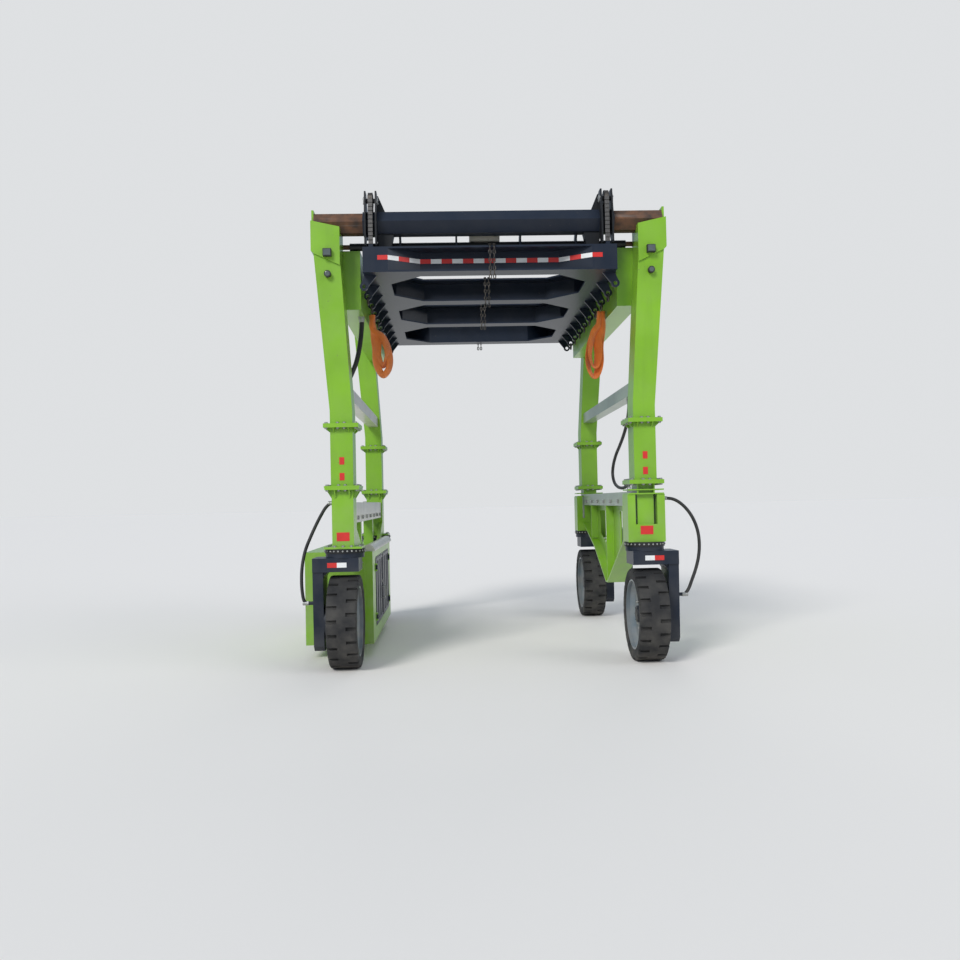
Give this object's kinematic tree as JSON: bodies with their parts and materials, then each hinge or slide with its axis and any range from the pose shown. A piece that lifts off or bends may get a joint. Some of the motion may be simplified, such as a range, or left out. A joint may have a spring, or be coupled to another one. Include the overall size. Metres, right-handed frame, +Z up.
{
  "type": "mobile straddle carrier",
  "caption": "Self-propelled straddle carrier: open portal frame on steered fork wheels, widening crossbeams, side power pack and a chain-hung lifting spreader.",
  "frame": {"origin": "on the ground, under the middle of the overall length and width", "axes": "+X to the machine's right side with the oil tank, +Y to its rear, +Z up"},
  "size_m": [4.97, 5.62, 5.765],
  "materials": {
    "lime_paint": "glossy lime green machine enamel",
    "navy_paint": "dark blue-black machine enamel",
    "black_paint": "black machine enamel",
    "cream_paint": "pale cream paint, slightly dusty",
    "grey_green_paint": "grey-green paint",
    "tank_paint": "dark green paint",
    "slide_steel": "bare sliding steel with surface rust",
    "chain_steel": "oiled steel chain",
    "rim_paint": "dark grey rim paint",
    "tyre": "solid black tyre rubber with road dust",
    "hose": "matt black hydraulic hose",
    "sling": "orange woven webbing",
    "engine": "cast iron",
    "lamp": "black lamp housings"
  },
  "bodies": {
    "crossbeams": {"front_crossbeam": "navy_paint", "rear_crossbeam": "navy_paint", "hangers": "black_paint", "sheaves": "black_paint", "chain_wraps": "chain_steel", "lift_chains": "chain_steel", "cylinder_barrels": "black_paint", "valve_box": "cream_paint"},
    "spreader": {"spreader_side_beams": "navy_paint", "spreader_cross_beams": "navy_paint", "spreader_lugs": "navy_paint", "shackles": "chain_steel", "load_chains": "chain_steel", "slings": "sling"},
    "pack_door_front": {"pack_door_front": "navy_paint"},
    "pack_door_rear": {"pack_door_rear": "navy_paint"},
    "left_side": {"left_feet": "lime_paint", "left_middles": "lime_paint", "left_legs": "lime_paint", "left_side_beams": "cream_paint", "left_top_beam": "lime_paint", "left_slide_tubes": "slide_steel", "left_rings": "black_paint", "left_lamps": "lamp", "hose_front_left": "hose", "hose_rear_left": "hose", "hose_left_side": "hose", "power_pack": "lime_paint", "pack_cover": "cream_paint", "engine_block": "engine"},
    "right_side": {"right_feet": "lime_paint", "right_middles": "lime_paint", "right_legs": "lime_paint", "right_side_beams": "grey_green_paint", "right_top_beam": "lime_paint", "right_slide_tubes": "slide_steel", "right_rings": "black_paint", "right_lamps": "lamp", "hose_front_right": "hose", "hose_rear_right": "hose", "hose_right_side": "hose", "belly_girder": "lime_paint", "oil_tank": "tank_paint"},
    "steering_front_left": {"fork_front_left": "navy_paint"},
    "wheel_front_left": {"tyre_front_left": "tyre", "rim_front_left": "rim_paint"},
    "steering_front_right": {"fork_front_right": "navy_paint"},
    "wheel_front_right": {"tyre_front_right": "tyre", "rim_front_right": "rim_paint"},
    "steering_rear_left": {"fork_rear_left": "navy_paint"},
    "wheel_rear_left": {"tyre_rear_left": "tyre", "rim_rear_left": "rim_paint"},
    "steering_rear_right": {"fork_rear_right": "navy_paint"},
    "wheel_rear_right": {"tyre_rear_right": "tyre", "rim_rear_right": "rim_paint"}
  },
  "joints": [
    {"name": "left_widening", "type": "slide", "parent": "crossbeams", "child": "left_side", "axis": [-1, 0, 0], "range_m": [0, 0.4]},
    {"name": "right_widening", "type": "slide", "parent": "crossbeams", "child": "right_side", "axis": [1, 0, 0], "range_m": [0, 0.4]},
    {"name": "spreader_lift", "type": "slide", "parent": "crossbeams", "child": "spreader", "axis": [0, 0, 1], "range_m": [-2.1, 0], "deforming": ["lift_chains"]},
    {"name": "pack_door_front_hinge", "type": "hinge", "parent": "left_side", "child": "pack_door_front", "pos_m": [-1.4725, -1.169, 0.8], "axis": [0, 0, -1], "range_deg": [0, 100]},
    {"name": "pack_door_rear_hinge", "type": "hinge", "parent": "left_side", "child": "pack_door_rear", "pos_m": [-1.4725, 1.169, 0.8], "axis": [0, 0, 1], "range_deg": [0, 100]},
    {"name": "steer_front_left", "type": "hinge", "parent": "left_side", "child": "steering_front_left", "pos_m": [-1.7625, -2.25, 1.4], "axis": [0, 0, 1], "range_deg": [-45, 45]},
    {"name": "roll_front_left", "type": "hinge", "parent": "steering_front_left", "child": "wheel_front_left", "pos_m": [-1.7625, -2.25, 0.56], "axis": [1, 0, 0], "continuous": true},
    {"name": "steer_front_right", "type": "hinge", "parent": "right_side", "child": "steering_front_right", "pos_m": [1.9075, -2.25, 1.4], "axis": [0, 0, 1], "range_deg": [-45, 45]},
    {"name": "roll_front_right", "type": "hinge", "parent": "steering_front_right", "child": "wheel_front_right", "pos_m": [1.9075, -2.25, 0.56], "axis": [1, 0, 0], "continuous": true},
    {"name": "steer_rear_left", "type": "hinge", "parent": "left_side", "child": "steering_rear_left", "pos_m": [-1.7625, 2.25, 1.4], "axis": [0, 0, 1], "range_deg": [-45, 45]},
    {"name": "roll_rear_left", "type": "hinge", "parent": "steering_rear_left", "child": "wheel_rear_left", "pos_m": [-1.7625, 2.25, 0.56], "axis": [1, 0, 0], "continuous": true},
    {"name": "steer_rear_right", "type": "hinge", "parent": "right_side", "child": "steering_rear_right", "pos_m": [1.9075, 2.25, 1.4], "axis": [0, 0, 1], "range_deg": [-45, 45]},
    {"name": "roll_rear_right", "type": "hinge", "parent": "steering_rear_right", "child": "wheel_rear_right", "pos_m": [1.9075, 2.25, 0.56], "axis": [1, 0, 0], "continuous": true}
  ]
}
